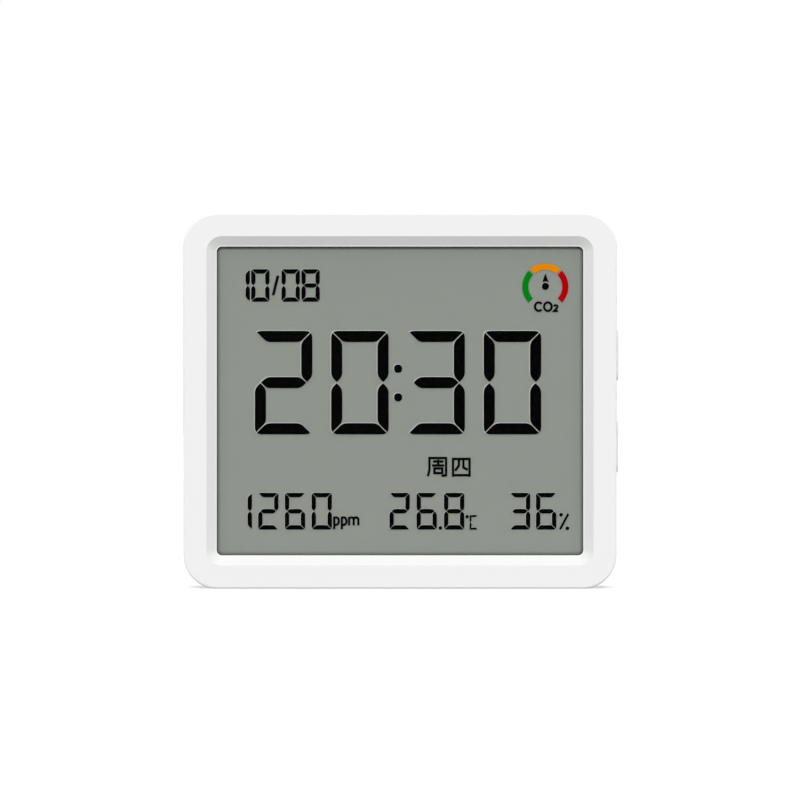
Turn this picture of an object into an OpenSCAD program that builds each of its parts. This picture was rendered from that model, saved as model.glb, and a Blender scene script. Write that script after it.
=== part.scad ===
// Desk carbon dioxide monitor with a reflective segment display, two side buttons and a fold-out stand.
// Every piece is drawn in panel coordinates, [right, up, depth behind the rim face] with the centre of
// the panel at [0, 0], and stand_up() turns them to +Z up with the display facing -Y and the base at Z = 0.

/* [Case] */
// Overall width of the case
body_w = 90; // [86:0.5:110]
// Overall height of the case
body_h = 78; // [76:0.5:96]
// Overall depth from the rim face to the back
body_d = 24; // [24:0.5:32]
// Radius of the case corners, seen from the front
corner_r = 7; // [6:0.5:8]
// Wall thickness of both shells
wall = 1.8; // [1.6:0.1:1.9]
// Rounding of the outer edge of the rim
front_edge_r = 0.4; // [0.2:0.1:1.2]
// Rounding of the outer edge at the back
back_edge_r = 3; // [2.2:0.1:3.2]
// Rounding of the two edges that meet at the parting line
parting_r = 0.25; // [0.1:0.05:0.4]
// Length of the rear cover's tongue inside the front housing
tongue_len = 1.5; // [1:0.25:2.5]
// Thickness of that tongue
tongue_t = 0.9; // [0.8:0.1:1.2]

/* [Window] */
// Width of the flat rim around the window
rim_w = 4.8; // [4.7:0.1:6]
// Width of the sloping band inside the rim
slope_w = 1.95; // [1.65:0.05:2.4]
// Depth of the sloping band
slope_d = 1.6; // [1.2:0.1:2]
// Width of the flat land at the foot of the slope
land_w = 0.15; // [0.15:0.05:0.5]
// Thickness of the lip that the lens rests on
lip_t = 0.5; // [0.5:0.1:1.2]
// Corner radius of the window opening
window_r = 1.1; // [0.8:0.1:2]

/* [Display] */
// Thickness of the clear lens
lens_t = 0.5; // [0.5:0.1:1.2]
// How far the lens reaches behind the lip
lens_margin = 1.2; // [1:0.1:1.3]
// Thickness of the black foam gasket behind the lens
gasket_t = 0.2; // [0.2:0.1:0.8]
// Width of the gasket that shows inside the window
gasket_show = 0.1; // [0.05:0.05:0.6]
// Thickness of each polarising film
film_t = 0.15; // [0.1:0.05:0.3]
// Thickness of each pane of the liquid crystal cell
pane_t = 0.7; // [0.55:0.05:1.1]
// How far the cell reaches past the window on each side
cell_margin = 1.3; // [1.2:0.05:1.4]
// Width of the contact ledge along the lower edge of the cell
ledge_w = 2.4; // [2:0.1:2.5]

/* [Carrier] */
// Thickness of the carrier's back plate
carrier_t = 1.2; // [1:0.1:1.6]
// Thickness of the carrier's walls around the cell
carrier_wall = 0.7; // [0.6:0.05:0.8]
// Radius of the posts that hold the carrier's ears
post_r = 1.7; // [1.6:0.1:1.8]
// Height of those posts above and below the middle
post_up = 24; // [20:1:28]
// Distance of the case screws from the edges of the case
screw_inset = 8.5; // [8:0.25:10]
// Outer radius of the carrier's long screw bosses
boss_r = 2.5; // [2.2:0.1:2.8]

/* [Circuit board] */
// Gap between the carrier plate and the board
board_gap = 1.8; // [1.4:0.1:2.4]
// Thickness of the circuit board
board_t = 1.2; // [1:0.1:1.6]
// Gap between the board and the side walls
board_side_gap = 2; // [1.8:0.1:2.4]
// Gap between the board and the walls above and below it
board_edge_gap = 1.2; // [1:0.1:1.6]

/* [Buttons] */
// Length of each side button
button_len = 10.8; // [9:0.2:12]
// Width of each side button, front to back
button_w = 4.2; // [3.6:0.1:4.6]
// How far a button stands proud of the side wall
button_proud = 0.6; // [0.4:0.05:0.8]
// Distance between the middles of the two buttons
button_pitch = 19.2; // [16:0.2:22]
// Gap round a button in its slot
button_clear = 0.12; // [0.08:0.01:0.2]
// Gap between the buttons' flanges and the rear cover's tongue
tongue_gap = 1.25; // [0.9:0.05:1.6]

/* [Sensor] */
// Length of the carbon dioxide sensor's own board
co2_len = 33.5; // [30:0.5:36]
// Width of the carbon dioxide sensor's own board
co2_w = 19.6; // [18:0.2:21]
// Height of the gold optical chamber
chamber_h = 6.6; // [5:0.1:7.5]
// Gap between the stand's pocket and the gold chamber above it
chamber_gap = 2.4; // [2:0.1:2.8]

/* [Battery] */
// Gap between the pouch cell and the stand's pocket behind it
cell_clear = 1.1; // [0.8:0.1:1.8]
// Room above the pouch cell for its flap, leads and plug
lead_room = 9.2; // [9:0.1:10]
// Gap between the pouch cell and the lower edge of the circuit board
cell_foot = 5; // [4.5:0.25:7]
// Room to the left of the pouch cell for the charging parts
left_bay = 13.2; // [13:0.1:15]
// Room to the right of the pouch cell for the processor and the switches
right_bay = 19.2; // [19:0.1:22]

/* [Air slots] */
// Number of upright slots in the upper row
slot_count = 15; // [9:2:15]
// Width of each slot
slot_w = 1.6; // [1.2:0.1:2]
// Distance between the middles of neighbouring slots
slot_pitch = 3.6; // [3:0.1:3.8]
// Length of the slots in the upper row
slot_len = 14; // [10:0.5:15]
// Length of the slots beside the stand
side_slot_len = 12; // [8:0.5:14]
// Number of slots on each side of the stand
side_slot_count = 4; // [2:1:4]

/* [Stand] */
// Width of the fold-out leg
leg_w = 30; // [24:0.5:32]
// Thickness of the leg
leg_t = 3; // [2.6:0.1:3.2]
// Distance of the stand's hinge below the top of the case
hinge_drop = 32; // [31.5:0.25:36]
// Radius of the leg's axle stubs
axle_r = 1; // [0.9:0.05:1.1]
// Length of each axle stub
axle_len = 1.6; // [1.2:0.1:1.8]
// Angle at which the leg's heel meets its stop
stand_angle = 25; // [15:1:30]
// How far the soft pad stands out of the leg's tip
pad_proud = 0.4; // [0.2:0.1:0.6]

/* [Hidden] */
$fn = 48;

// Clearances
fit = 0.15;          // between moulded pieces that slide together
run = 0.05;          // between a turning axle and its socket
leg_gap = 0.3;       // round the folded leg
cut = 1;             // how far a cut runs past the surface that it opens
hole_slack = 0.15;   // a screw hole's radius beyond its screw

// Case
half_w = body_w / 2;
half_h = body_h / 2;
inner_x = half_w - wall;
inner_up = half_h - wall;
inner_r = corner_r - wall;
tongue_sink = 0.1;   // how far the tongue's root runs into the cover's wall

// Window and the stack behind it, each value a depth behind the rim face
frame_w = rim_w + slope_w + land_w;
window_w = body_w - 2 * frame_w;
window_h = body_h - 2 * frame_w;
lip_back = slope_d + lip_t;
lens_back = lip_back + lens_t;
gasket_back = lens_back + gasket_t;
film_back = gasket_back + film_t;
front_pane_back = film_back + pane_t;
rear_pane_back = front_pane_back + pane_t;
reflector_back = rear_pane_back + film_t;
plate_back = reflector_back + carrier_t;
board_front = plate_back + board_gap;
board_back = board_front + board_t;
film_inset = 0.4;    // the films stop this far inside the edge of the panes

// Lens and display cell
lens_w = window_w + 2 * lens_margin;
lens_h = window_h + 2 * lens_margin;
lens_r = window_r + 0.4;
lens_fit = 0.1;
lens_rib_t = 0.8;
pane_w = window_w + 2 * cell_margin;
pane_h = window_h + 2 * cell_margin;
film_w = pane_w - 2 * film_inset;
film_h = pane_h - 2 * film_inset;

// Carrier, its posts in the front housing and its bosses for the case screws
post_sink = 0.2;     // how far a post runs into the side wall
post_x = inner_x - post_r + post_sink;
carrier_front = film_back + 0.1;
carrier_x = pane_w / 2 + fit + carrier_wall;
carrier_top = pane_h / 2 + fit + carrier_wall;
carrier_bottom = -pane_h / 2 - ledge_w - fit - carrier_wall;
ear_w = 7;
ear_end = inner_x - 0.3;
carrier_r = 1;
case_screw_x = half_w - screw_inset;
case_screw_up = half_h - screw_inset;
seat_d = 4;          // depth of the case screws' heads below the back
clamp_t = 1.6;       // material under those heads
seat_at = body_d - seat_d;
boss_top = seat_at - clamp_t;
board_screw_x = case_screw_x - 6.5;
board_screw_up = pane_h / 2 - 2.4;

// Screws, as [shank radius, head radius, head height]
case_screw = [1, 1.9, 1.3];
small_screw = [0.8, 1.3, 0.9];
case_shank = 7;
drive_share = 1.1;   // length of a screw's cross slot, as a share of its head radius
drive_w = 0.32;
drive_d = 0.5;
screw_end_gap = 0.3; // between a screw's end and the foot of its hole
head_slack = 0.3;    // round a case screw's head in its well
well_t = 1.1;        // wall of that well

// Contact strip between the ledge and the board
strip_w = 1.7;
strip_len = window_w - 4;
strip_up = -pane_h / 2 - ledge_w / 2;

// Side buttons and their switches
board_x = inner_x - board_side_gap;
board_up = inner_up - board_edge_gap;
switch_h = 3.5;
switch_len = 6;
switch_depth = 3.5;
switch_face = board_x - 0.2;
button_at = board_back + switch_h / 2;
button_r = button_w / 2 - 0.1;
button_edge_r = 0.5;
flange_t = 0.8;
flange_lap = 0.8;
flange_gap = 0.05;
flange_back = inner_x - flange_gap - flange_t;
flange_r = 1;
guide_t = 0.8;       // ribs that keep a button's flange in line
guide_out = 1.5;
guide_gap = 0.2;
parting = button_at + button_w / 2 + flange_lap + tongue_gap + tongue_len;
plunger_out = 1;
plunger_in = 1.5;
plunger_len = 2.6;
plunger_w = 1.4;
plunger_tip = switch_face + plunger_out;
plunger_fit = 0.1;
switch_travel = 0.25;
nub_r = 1;

// USB socket on the board's left edge
usb_w = 8.94;
usb_h = 3.26;
usb_wall = 0.3;
usb_len = 7.3;
usb_up = 10.5 - case_screw_up;
usb_end_t = 0.4;     // closed inner end of the shell
usb_inside = usb_len - usb_end_t;
usb_recess = 1;
usb_gap = 0.2;
usb_at = board_back + usb_h / 2;
usb_mouth = -half_w + usb_recess;
tongue_plate = [4.9, 6.7, 0.7];   // length, width and thickness of the socket's inner tongue
tongue_root = 1.6;
contact_count = 12;
contact_pitch = 0.5;
contact_size = [0.26, 0.06, 3.9];   // width, thickness and length of one contact

// Carbon dioxide sensor
header_h = 1.8;
co2_board_t = 1;
pin_pitch = 2.54;
pin_r = 0.32;
pin_hole_r = 0.45;
pin_count = 5;
pin_tail = 0.6;
pin_x = co2_len / 2 - 1.6;
chamber_r = 2;
chamber_edge_r = 0.8;
filter_r = 0.4;
filter_slack = 0.1;
seal_inset = 1;
co2_board_front = board_back + header_h;
co2_board_back = co2_board_front + co2_board_t;
chamber_len = 24;
chamber_w = 16.6;
chamber_back = co2_board_back + chamber_h;
filter_len = 15;
filter_w = 9;
filter_t = 0.3;
seal_wall = 2;
cover_inside = body_d - wall;

// Temperature and humidity sensor on a tongue at the board's right edge
island = 7;
island_slot = 1;
island_neck = 2.4;
rh_x = board_x - island / 2;
rh_up = 9 - case_screw_up;
rh_size = 2.5;
rh_h = 0.9;
rh_r = 0.2;
rh_port_r = 0.6;
rh_port_d = 0.3;

// Chips, each given as [right, up] for its middle
mcu_at = [board_x - 9.7, -14];
mcu_size = 7;
mcu_h = 0.9;
charger_at = [8.2 - board_x, -8];
charger_size = 4;
charger_h = 0.8;
crystal_at = [board_x - 9.7, -6.5];
crystal_size = [3.2, 2.5, 0.9];
passive_at = [board_x - 12.7, 0.5];
passive_size = [1.6, 0.8, 0.8];
passive_pitch = [3, 2.2];
passive_columns = 3;
passive_rows = 4;
crystal_r = 0.4;
chip_corner = 0.05;  // a chip's corner radius, as a share of its size
dot_place = 0.37;    // the first pin's dot lies this far from the middle, as a share of the chip's size
dot_share = 0.06;    // that dot's radius, as a share of the chip's size
dot_d = 0.1;

// Stand and its recess
hinge_up = half_h - hinge_drop;
leg_sink = 0.2;      // the folded leg lies this far below the back
leg_back = body_d - leg_sink;
leg_front = leg_back - leg_t;
hinge_at = leg_back - leg_t / 2;
heel = 2.2;          // length of the leg above its axle
heel_reach = leg_t / 2 * cos(stand_angle) + heel * sin(stand_angle);
heel_sweep = sqrt(pow(leg_t / 2, 2) + pow(heel, 2));
recess_low = -half_h + back_edge_r + 0.1;
leg_tip = recess_low + leg_gap + pad_proud;
recess_high = hinge_up + heel_sweep + leg_gap;
recess_floor = leg_front - leg_gap;
stop_at = hinge_at - heel_reach - 0.01;
floor_t = 1.3;
recess_x = leg_w / 2 + leg_gap;
axle_wall = 0.8;
axle_end_gap = 0.2;
pocket_wall = recess_x + axle_len + axle_wall + axle_end_gap;
co2_up = recess_high + floor_t + chamber_gap + chamber_w / 2;
leg_corner_r = 4;
leg_skin = 1.3;
leg_rim = 1.5;
leg_rib_t = 1;
bay_r = 1;
bay_high = hinge_up - axle_r - 2;
bay_low = leg_tip + leg_corner_r + 0.5;
foot_len = leg_w - 2 * leg_corner_r - 2;
foot_t = 1.4;
foot_depth = 1;
scoop_r = 6;
scoop_up = leg_tip + 7;
scoop_d = 2.2;

// Battery and its leads
cell_left = left_bay - board_x;
cell_right = board_x - right_bay;
cell_len = cell_right - cell_left;
cell_x = (cell_left + cell_right) / 2;
pad_t = 0.5;
pad_margin = 4;
pad_r = 1;
cell_front = board_back + pad_t;
cell_t = stop_at - floor_t - cell_clear - cell_front;
cell_low = cell_foot - board_up;
cell_high = co2_up - co2_w / 2 - lead_room;
cell_w = cell_high - cell_low;
cell_up = (cell_low + cell_high) / 2;
cell_edge_r = 1.5;
cell_corner_r = 3.2;
flap_w = 3;
flap_t = 1;
flap_inset = 2;
flap_root = 0.5;
lead_r = 0.55;
lead_pitch = 2;
lead_bend = 2;
lead_at = cell_front + 2.2;
lead_x = cell_left + 6;
lead_start = cell_high + flap_w;
plug_size = [5, 4.6, 3];
plug_up = lead_start + lead_bend + lead_pitch / 2;
plug_end = lead_x - lead_bend - 3.2;
plug_latch = [1.6, 2.8, 0.4];   // length, width and depth of the pocket in the plug
latch_in = 1.8;      // that pocket's distance from the leads' end
socket_wall = 0.7;
socket_end = 1.5;    // wall at the socket's blind end
plug_show = 1.2;     // how far the plug stands out of the socket

// Air slots
slot_up = recess_high + floor_t + 2.8 + slot_len / 2;
side_slot_up = -12;
side_slot_x = pocket_wall + slot_pitch;

// Turns panel coordinates into the part's own frame
module stand_up() translate([0, -body_d / 2, half_h]) mirror([0, 1, 0]) rotate([90, 0, 0]) children();

// Turns [up, depth, right] into panel coordinates, for what is drawn looking at a side wall
module on_side() rotate([90, 0, 90]) children();

module at_corners(x, up) for (sx = [-1, 1], sy = [-1, 1]) translate([sx * x, sy * up, 0]) children();

module rounded_rect(w, h, r) {
    square([w - 2 * r, h], center = true);
    square([w, h - 2 * r], center = true);
    for (sx = [-1, 1], sy = [-1, 1]) translate([sx * (w / 2 - r), sy * (h / 2 - r)]) circle(r);
}

module rounded_plate(w, h, r, from, to) translate([0, 0, from])
    linear_extrude(to - from) rounded_rect(w, h, r);

module block(x0, x1, up0, up1, from, to) translate([x0, up0, from]) cube([x1 - x0, up1 - up0, to - from]);

module rod(r, from, to) translate([0, 0, from]) cylinder(r = r, h = to - from);

// Upright slot with round ends
module slot_shape(len, w) {
    square([w, len - w], center = true);
    for (s = [-1, 1]) translate([0, s * (len - w) / 2]) circle(w / 2);
}

// Edge section drawn as [outwards from the corner's axis, depth], rounded at either end
module edge_section(out, from, to, round_from = 0, round_to = 0) {
    polygon([[0, from], [out - round_from, from], [out - round_from, from + round_from],
             [out, from + round_from], [out, to - round_to], [out - round_to, to - round_to],
             [out - round_to, to], [0, to]]);
    if (round_from > 0) intersection() {
        translate([out - round_from, from + round_from]) circle(round_from);
        translate([out - round_from, from]) square(round_from);
    }
    if (round_to > 0) intersection() {
        translate([out - round_to, to - round_to]) circle(round_to);
        translate([out - round_to, to - round_to]) square(round_to);
    }
}

// Block with rounded corners whose sides all follow the one edge section given as its child
module sectioned_block(w, h, r, from, to) {
    cx = w / 2 - r;
    cy = h / 2 - r;
    block(-cx, cx, -cy, cy, from, to);
    for (flip = [0, 1]) {
        mirror([flip, 0, 0]) translate([cx, cy, 0]) rotate([90, 0, 0]) linear_extrude(2 * cy) children();
        mirror([0, flip, 0]) translate([-cx, cy, 0]) rotate([90, 0, 90]) linear_extrude(2 * cx) children();
        for (side = [0, 1])
            mirror([flip, 0, 0]) mirror([0, side, 0]) translate([cx, cy, 0])
                rotate_extrude(angle = 90) children();
    }
}

module screw(size, shank, head_at) {
    difference() {
        union() {
            rod(size[0], head_at - shank, head_at);
            rod(size[1], head_at, head_at + size[2]);
        }
        for (turn = [0, 90]) rotate(turn)
            translate([0, 0, head_at + size[2] - drive_d / 2 + cut / 2])
                cube([drive_share * size[1], drive_w, drive_d + cut], center = true);
    }
}

// ---- Front housing ----

module window_cut() {
    foot_r = window_r + land_w;
    slope = slope_w / slope_d;
    sectioned_block(window_w + 2 * land_w, window_h + 2 * land_w, foot_r, -cut, slope_d)
        polygon([[0, -cut], [foot_r + slope_w + cut * slope, -cut], [foot_r, slope_d], [0, slope_d]]);
    rounded_plate(window_w, window_h, window_r, slope_d - cut, lip_back + cut);
}

module button_slots() on_side() for (s = [-1, 1])
    translate([s * button_pitch / 2, button_at, 0])
        rounded_plate(button_len + 2 * button_clear, button_w + 2 * button_clear, button_r + button_clear,
                      inner_x - cut, half_w + cut);

// Ribs on the side wall above and below each button's flange
module button_guides() {
    reach = button_len / 2 + flange_lap + guide_gap;
    for (s = [-1, 1], side = [-1, 1]) translate([0, s * button_pitch / 2 + side * (reach + guide_t / 2), 0])
        block(inner_x - guide_out, inner_x + wall / 2, -guide_t / 2, guide_t / 2,
              lip_back - lip_t / 2, parting - tongue_len - fit);
}

module usb_opening() on_side() translate([usb_up, usb_at, -half_w - cut]) rotate(90)
    linear_extrude(wall + 2 * cut) slot_shape(usb_w + 2 * usb_gap, usb_h + 2 * usb_gap);

module front_housing() color("whitesmoke") stand_up() difference() {
    union() {
        difference() {
            sectioned_block(body_w, body_h, corner_r, 0, parting)
                edge_section(corner_r, 0, parting, front_edge_r, parting_r);
            rounded_plate(2 * inner_x, 2 * inner_up, inner_r, lip_back, parting + cut);
        }
        difference() {
            rounded_plate(lens_w + 2 * (lens_fit + lens_rib_t), lens_h + 2 * (lens_fit + lens_rib_t),
                          lens_r + lens_rib_t, lip_back - lip_t / 2, lens_back);
            rounded_plate(lens_w + 2 * lens_fit, lens_h + 2 * lens_fit, lens_r, lip_back, lens_back + cut);
        }
        at_corners(post_x, post_up) rod(post_r, lip_back - lip_t / 2, reflector_back);
        button_guides();
    }
    window_cut();
    at_corners(post_x, post_up) rod(small_screw[0], lip_back, reflector_back + cut);
    button_slots();
    usb_opening();
}

// ---- Display ----

module display_lens() color("azure", 0.3) stand_up()
    rounded_plate(lens_w, lens_h, lens_r, lip_back, lens_back);

module lens_gasket() color("black") stand_up() difference() {
    rounded_plate(lens_w, lens_h, lens_r, lens_back, gasket_back);
    rounded_plate(window_w - 2 * gasket_show, window_h - 2 * gasket_show, window_r,
                  lens_back - cut, gasket_back + cut);
}

module lcd_front_film() color("darkseagreen", 0.5) stand_up()
    block(-film_w / 2, film_w / 2, -film_h / 2, film_h / 2, gasket_back, film_back);

module lcd_front_pane() color("lightcyan", 0.4) stand_up()
    block(-pane_w / 2, pane_w / 2, -pane_h / 2 - ledge_w, pane_h / 2, film_back, front_pane_back);

module lcd_rear_pane() color("lightcyan", 0.4) stand_up()
    block(-pane_w / 2, pane_w / 2, -pane_h / 2, pane_h / 2, front_pane_back, rear_pane_back);

module lcd_reflector() color("darkgray") stand_up()
    block(-film_w / 2, film_w / 2, -film_h / 2, film_h / 2, rear_pane_back, reflector_back);

// ---- Carrier ----

module lcd_carrier() color("gainsboro") stand_up() difference() {
    union() {
        translate([0, (carrier_top + carrier_bottom) / 2, 0])
            rounded_plate(2 * carrier_x, carrier_top - carrier_bottom, carrier_r,
                          carrier_front, plate_back);
        for (s = [-1, 1]) block(-ear_end, ear_end, s * post_up - ear_w / 2, s * post_up + ear_w / 2,
                                reflector_back, plate_back);
        at_corners(case_screw_x, case_screw_up) rod(boss_r, plate_back - carrier_t / 2, boss_top);
        at_corners(board_screw_x, board_screw_up) rod(post_r, plate_back - carrier_t / 2, board_front);
    }
    block(-pane_w / 2 - fit, pane_w / 2 + fit, -pane_h / 2 - ledge_w - fit, pane_h / 2 + fit,
          carrier_front - cut, front_pane_back);
    block(-pane_w / 2 - fit, pane_w / 2 + fit, -pane_h / 2 - fit, pane_h / 2 + fit,
          carrier_front - cut, reflector_back);
    block(-strip_len / 2 - fit, strip_len / 2 + fit, strip_up - strip_w / 2 - fit,
          strip_up + strip_w / 2 + fit, carrier_front, plate_back + cut);
    at_corners(post_x, post_up) rod(post_r + fit, carrier_front - cut, reflector_back);
    at_corners(post_x, post_up) rod(small_screw[0] + hole_slack, carrier_front, plate_back + cut);
    at_corners(case_screw_x, case_screw_up) rod(case_screw[0], boss_top - case_shank, boss_top + cut);
    at_corners(board_screw_x, board_screw_up)
        rod(small_screw[0], plate_back - carrier_t / 2, board_front + cut);
}

module contact_strip() color("lightpink") stand_up()
    block(-strip_len / 2, strip_len / 2, strip_up - strip_w / 2, strip_up + strip_w / 2,
          front_pane_back, board_front);

// ---- Circuit board and what is soldered to it ----

module co2_pin_places() for (s = [-1, 1], n = [0 : pin_count - 1])
    translate([s * pin_x, co2_up + (n - (pin_count - 1) / 2) * pin_pitch, 0]) children();

// Narrow cuts leave the humidity sensor on a tongue with a thin neck, away from the board's heat
module island_cuts() translate([board_x - island, rh_up, 0]) for (flip = [0, 1]) mirror([0, flip, 0]) {
    block(0, island + cut, island / 2 - island_slot, island / 2, board_front - cut, board_back + cut);
    block(0, island_slot, island_neck / 2, island / 2, board_front - cut, board_back + cut);
}

module main_board() color("darkgreen") stand_up() difference() {
    rounded_plate(2 * board_x, 2 * board_up, inner_r, board_front, board_back);
    at_corners(case_screw_x, case_screw_up) rod(boss_r + 0.3, board_front - cut, board_back + cut);
    at_corners(board_screw_x, board_screw_up)
        rod(small_screw[0] + hole_slack, board_front - cut, board_back + cut);
    co2_pin_places() rod(pin_hole_r, board_front - cut, board_back + cut);
    island_cuts();
}

// Square chip with a dot at its first pin
module chip(at, size, h) translate([at[0], at[1], board_back]) difference() {
    linear_extrude(h) rounded_rect(size, size, chip_corner * size);
    translate([-dot_place * size, dot_place * size, h - dot_d]) cylinder(r = dot_share * size, h = cut);
}

module microcontroller() color("dimgray") stand_up() chip(mcu_at, mcu_size, mcu_h);

module charger_chip() color("dimgray") stand_up() chip(charger_at, charger_size, charger_h);

module quartz_crystal() color("silver") stand_up() translate([crystal_at[0], crystal_at[1], board_back])
    linear_extrude(crystal_size[2]) rounded_rect(crystal_size[0], crystal_size[1], crystal_r);

module chip_passives() color("peru") stand_up()
    for (column = [0 : passive_columns - 1], row = [0 : passive_rows - 1])
        translate([passive_at[0] + column * passive_pitch[0], passive_at[1] + row * passive_pitch[1],
                   board_back + passive_size[2] / 2])
            cube(passive_size, center = true);

module humidity_sensor() color("dimgray") stand_up() translate([rh_x, rh_up, 0]) difference() {
    rounded_plate(rh_size, rh_size, rh_r, board_back, board_back + rh_h);
    rod(rh_port_r, board_back + rh_h - rh_port_d, board_back + rh_h + cut);
}

// ---- Carbon dioxide sensor ----

module co2_board() color("seagreen") stand_up() difference() {
    block(-co2_len / 2, co2_len / 2, co2_up - co2_w / 2, co2_up + co2_w / 2,
          co2_board_front, co2_board_back);
    co2_pin_places() rod(pin_hole_r, co2_board_front - cut, co2_board_back + cut);
}

module co2_header() color("black") stand_up() difference() {
    for (s = [-1, 1]) block(s * pin_x - pin_pitch / 2, s * pin_x + pin_pitch / 2,
                            co2_up - pin_count * pin_pitch / 2, co2_up + pin_count * pin_pitch / 2,
                            board_back, co2_board_front);
    co2_pin_places() rod(pin_r, board_back - cut, co2_board_front + cut);
}

module co2_pins() color("gold") stand_up() co2_pin_places()
    rod(pin_r, board_front - pin_tail, co2_board_back + pin_tail);

module co2_chamber() color("goldenrod") stand_up() translate([0, co2_up, 0]) difference() {
    sectioned_block(chamber_len, chamber_w, chamber_r, co2_board_back, chamber_back)
        edge_section(chamber_r, co2_board_back, chamber_back, 0, chamber_edge_r);
    rounded_plate(filter_len + 2 * filter_slack, filter_w + 2 * filter_slack, filter_r + filter_slack,
                  chamber_back - filter_t, chamber_back + cut);
}

module co2_filter() color("white") stand_up() translate([0, co2_up, 0])
    rounded_plate(filter_len, filter_w, filter_r, chamber_back - filter_t, chamber_back);

module co2_seal() color("black") stand_up() translate([0, co2_up, 0]) difference() {
    x = chamber_len / 2 - seal_inset;
    up = chamber_w / 2 - seal_inset;
    block(-x, x, -up, up, chamber_back, cover_inside);
    block(seal_wall - x, x - seal_wall, seal_wall - up, up - seal_wall,
          chamber_back - cut, cover_inside + cut);
}

// ---- USB socket, drawn in [up, depth, right] with its mouth on the left ----

module usb_shell() color("silver") stand_up() on_side() translate([usb_up, usb_at, usb_mouth]) rotate(90)
    difference() {
        linear_extrude(usb_len) slot_shape(usb_w, usb_h);
        translate([0, 0, -cut]) linear_extrude(usb_inside + cut)
            slot_shape(usb_w - 2 * usb_wall, usb_h - 2 * usb_wall);
    }

module usb_tongue() color("black") stand_up() on_side() translate([usb_up, usb_at, usb_mouth]) {
    translate([0, 0, usb_inside - tongue_root]) rotate(90)
        linear_extrude(tongue_root) slot_shape(usb_w - 2 * usb_wall, usb_h - 2 * usb_wall);
    translate([-tongue_plate[1] / 2, -tongue_plate[2] / 2, usb_inside - tongue_root - tongue_plate[0]])
        cube([tongue_plate[1], tongue_plate[2], tongue_plate[0]]);
}

module usb_contacts() color("gold") stand_up() on_side() translate([usb_up, usb_at, usb_mouth])
    for (face = [-1, 1], n = [0 : contact_count - 1])
        translate([(n - (contact_count - 1) / 2) * contact_pitch,
                   face * (tongue_plate[2] + contact_size[1]) / 2,
                   usb_inside - tongue_root - tongue_plate[0] / 2])
            cube(contact_size, center = true);

// ---- Battery ----

module battery_cell() color("silver") stand_up() {
    translate([cell_x, cell_up, 0])
        sectioned_block(cell_len, cell_w, cell_corner_r, cell_front, cell_front + cell_t)
            edge_section(cell_corner_r, cell_front, cell_front + cell_t, 0, cell_edge_r);
    block(cell_left + flap_inset, cell_right - flap_inset, cell_high - flap_root, lead_start,
          lead_at - flap_t / 2, lead_at + flap_t / 2);
}

module battery_pad() color("dimgray") stand_up() translate([cell_x, cell_up, 0])
    rounded_plate(cell_len - 2 * pad_margin, cell_w - 2 * pad_margin, pad_r, board_back, cell_front);

// A lead leaves the flap upwards, turns left and runs into the plug
module battery_lead(x, bend) translate([0, 0, lead_at]) {
    translate([x, lead_start, 0]) rotate([-90, 0, 0])
        cylinder(r = lead_r, h = plug_up_of(x) - bend - lead_start);
    translate([x - bend, plug_up_of(x) - bend, 0])
        rotate_extrude(angle = 90) translate([bend, 0]) circle(lead_r);
    translate([plug_end, plug_up_of(x), 0]) rotate([0, 90, 0])
        cylinder(r = lead_r, h = x - bend - plug_end);
}

// Height at which the lead that starts at x enters the plug
function plug_up_of(x) = plug_up + (x - lead_x);

module battery_lead_red() color("red") stand_up()
    battery_lead(lead_x + lead_pitch / 2, lead_bend + lead_pitch / 2);

module battery_lead_black() color("black") stand_up()
    battery_lead(lead_x - lead_pitch / 2, lead_bend - lead_pitch / 2);

module battery_plug() color("ivory") stand_up() difference() {
    block(plug_end - plug_size[0], plug_end, plug_up - plug_size[1] / 2, plug_up + plug_size[1] / 2,
          lead_at - plug_size[2] / 2, lead_at + plug_size[2] / 2);
    block(plug_end - latch_in - plug_latch[0], plug_end - latch_in, plug_up - plug_latch[1] / 2,
          plug_up + plug_latch[1] / 2, lead_at + plug_size[2] / 2 - plug_latch[2],
          lead_at + plug_size[2] / 2 + cut);
}

module battery_socket() color("white") stand_up() difference() {
    block(plug_end - plug_size[0] - socket_end, plug_end - plug_show,
          plug_up - plug_size[1] / 2 - run - socket_wall, plug_up + plug_size[1] / 2 + run + socket_wall,
          board_back, lead_at + plug_size[2] / 2 + run + socket_wall);
    block(plug_end - plug_size[0] - run, plug_end, plug_up - plug_size[1] / 2 - run,
          plug_up + plug_size[1] / 2 + run, lead_at - plug_size[2] / 2 - run,
          lead_at + plug_size[2] / 2 + run);
}

// ---- Side buttons and switches, drawn in [up, depth, right] ----

module side_button(up) color("whitesmoke") stand_up() on_side() translate([up, button_at, 0]) {
    sectioned_block(button_len, button_w, button_r, flange_back + flange_t / 2, half_w + button_proud)
        edge_section(button_r, flange_back + flange_t / 2, half_w + button_proud, 0, button_edge_r);
    rounded_plate(button_len + 2 * flange_lap, button_w + 2 * flange_lap, flange_r,
                  flange_back, flange_back + flange_t);
    rod(nub_r, plunger_tip, flange_back + flange_t / 2);
}

module side_switch(up) color("darkslategray") stand_up() on_side() translate([up, button_at, 0])
    difference() {
        block(-switch_len / 2, switch_len / 2, -switch_h / 2, switch_h / 2,
              switch_face - switch_depth, switch_face);
        block(-plunger_len / 2 - plunger_fit, plunger_len / 2 + plunger_fit,
              -plunger_w / 2 - plunger_fit, plunger_w / 2 + plunger_fit,
              switch_face - plunger_in - switch_travel - plunger_fit, switch_face + cut);
    }

module switch_plunger(up) color("white") stand_up() on_side() translate([up, button_at, 0])
    block(-plunger_len / 2, plunger_len / 2, -plunger_w / 2, plunger_w / 2,
          switch_face - plunger_in, plunger_tip);

// ---- Rear cover ----

module ring(x, up, r, t, from, to) difference() {
    rounded_plate(2 * x, 2 * up, r, from, to);
    rounded_plate(2 * (x - t), 2 * (up - t), r - t, from - cut, to + cut);
}

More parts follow.
